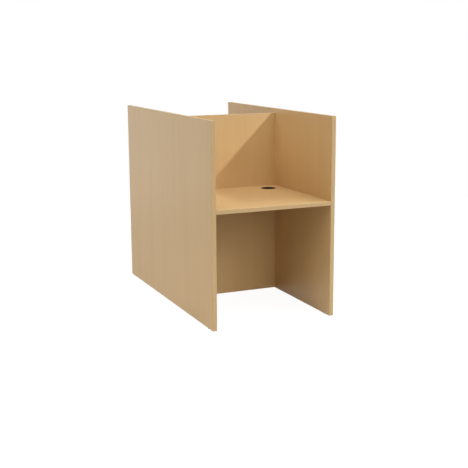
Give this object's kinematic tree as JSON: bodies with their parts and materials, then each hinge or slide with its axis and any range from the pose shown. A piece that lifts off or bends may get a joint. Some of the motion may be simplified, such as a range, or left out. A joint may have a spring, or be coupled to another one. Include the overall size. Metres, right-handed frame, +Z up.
{
  "type": "study booth",
  "caption": "Double-face study carrel: side panels and a mid divider around two worktops, with turning cable grommet caps and levelling feet.",
  "frame": {"origin": "on the floor under the booth's centre", "axes": "+Y from the front place to the rear one, +X to the front user's right, +Z up"},
  "size_m": [0.828, 1.612, 1.27],
  "materials": {
    "laminate": "satin",
    "edge_band": "satin",
    "black_plastic": "satin",
    "zinc": "satin",
    "plated_steel": "satin",
    "cover_plastic": "satin",
    "nylon": "satin"
  },
  "bodies": {
    "carcass": {"left_side_panel": "laminate", "right_side_panel": "laminate", "divider": "laminate", "front_worktop": "laminate", "rear_worktop": "laminate", "left_panel_front_band": "edge_band", "left_panel_rear_band": "edge_band", "left_panel_top_band": "edge_band", "right_panel_front_band": "edge_band", "right_panel_rear_band": "edge_band", "right_panel_top_band": "edge_band", "divider_top_band": "edge_band", "front_worktop_band": "edge_band", "rear_worktop_band": "edge_band", "front_grommet_sleeve": "black_plastic", "rear_grommet_sleeve": "black_plastic", "front_worktop_cam_drums": "zinc", "rear_worktop_cam_drums": "zinc", "divider_cam_drums": "zinc", "front_worktop_cam_bolts": "plated_steel", "rear_worktop_cam_bolts": "plated_steel", "divider_cam_bolts": "plated_steel", "front_worktop_cam_covers": "cover_plastic", "rear_worktop_cam_covers": "cover_plastic", "divider_cam_covers": "cover_plastic", "foot_inserts": "plated_steel"},
    "front_grommet_cap_body": {"front_grommet_cap": "black_plastic"},
    "rear_grommet_cap_body": {"rear_grommet_cap": "black_plastic"},
    "left_front_foot_pad_body": {"left_front_foot_pad": "nylon"},
    "left_front_foot_screw_body": {"left_front_foot_screw": "plated_steel"},
    "left_rear_foot_pad_body": {"left_rear_foot_pad": "nylon"},
    "left_rear_foot_screw_body": {"left_rear_foot_screw": "plated_steel"},
    "right_front_foot_pad_body": {"right_front_foot_pad": "nylon"},
    "right_front_foot_screw_body": {"right_front_foot_screw": "plated_steel"},
    "right_rear_foot_pad_body": {"right_rear_foot_pad": "nylon"},
    "right_rear_foot_screw_body": {"right_rear_foot_screw": "plated_steel"}
  },
  "joints": [
    {"name": "front_grommet_cap_turn", "type": "hinge", "parent": "carcass", "child": "front_grommet_cap_body", "pos_m": [0.276, -0.136, 0.742], "axis": [0, 0, 1], "continuous": true},
    {"name": "rear_grommet_cap_turn", "type": "hinge", "parent": "carcass", "child": "rear_grommet_cap_body", "pos_m": [-0.276, 0.136, 0.742], "axis": [0, 0, 1], "continuous": true},
    {"name": "left_front_foot_travel", "type": "slide", "parent": "carcass", "child": "left_front_foot_pad_body", "axis": [0, 0, -1], "range_m": [0, 0.012]},
    {"name": "left_front_screw_turn", "type": "hinge", "parent": "left_front_foot_pad_body", "child": "left_front_foot_screw_body", "pos_m": [-0.4, -0.726, 0], "axis": [0, 0, -1], "range_deg": [0, 3457]},
    {"name": "left_rear_foot_travel", "type": "slide", "parent": "carcass", "child": "left_rear_foot_pad_body", "axis": [0, 0, -1], "range_m": [0, 0.012]},
    {"name": "left_rear_screw_turn", "type": "hinge", "parent": "left_rear_foot_pad_body", "child": "left_rear_foot_screw_body", "pos_m": [-0.4, 0.726, 0], "axis": [0, 0, -1], "range_deg": [0, 3457]},
    {"name": "right_front_foot_travel", "type": "slide", "parent": "carcass", "child": "right_front_foot_pad_body", "axis": [0, 0, -1], "range_m": [0, 0.012]},
    {"name": "right_front_screw_turn", "type": "hinge", "parent": "right_front_foot_pad_body", "child": "right_front_foot_screw_body", "pos_m": [0.4, -0.726, 0], "axis": [0, 0, -1], "range_deg": [0, 3457]},
    {"name": "right_rear_foot_travel", "type": "slide", "parent": "carcass", "child": "right_rear_foot_pad_body", "axis": [0, 0, -1], "range_m": [0, 0.012]},
    {"name": "right_rear_screw_turn", "type": "hinge", "parent": "right_rear_foot_pad_body", "child": "right_rear_foot_screw_body", "pos_m": [0.4, 0.726, 0], "axis": [0, 0, -1], "range_deg": [0, 3457]}
  ],
  "couplings": [
    {"joint": "left_front_screw_turn", "follows": "left_front_foot_travel", "rad_per_m": 5026.5},
    {"joint": "left_rear_screw_turn", "follows": "left_rear_foot_travel", "rad_per_m": 5026.5},
    {"joint": "right_front_screw_turn", "follows": "right_front_foot_travel", "rad_per_m": 5026.5},
    {"joint": "right_rear_screw_turn", "follows": "right_rear_foot_travel", "rad_per_m": 5026.5}
  ]
}
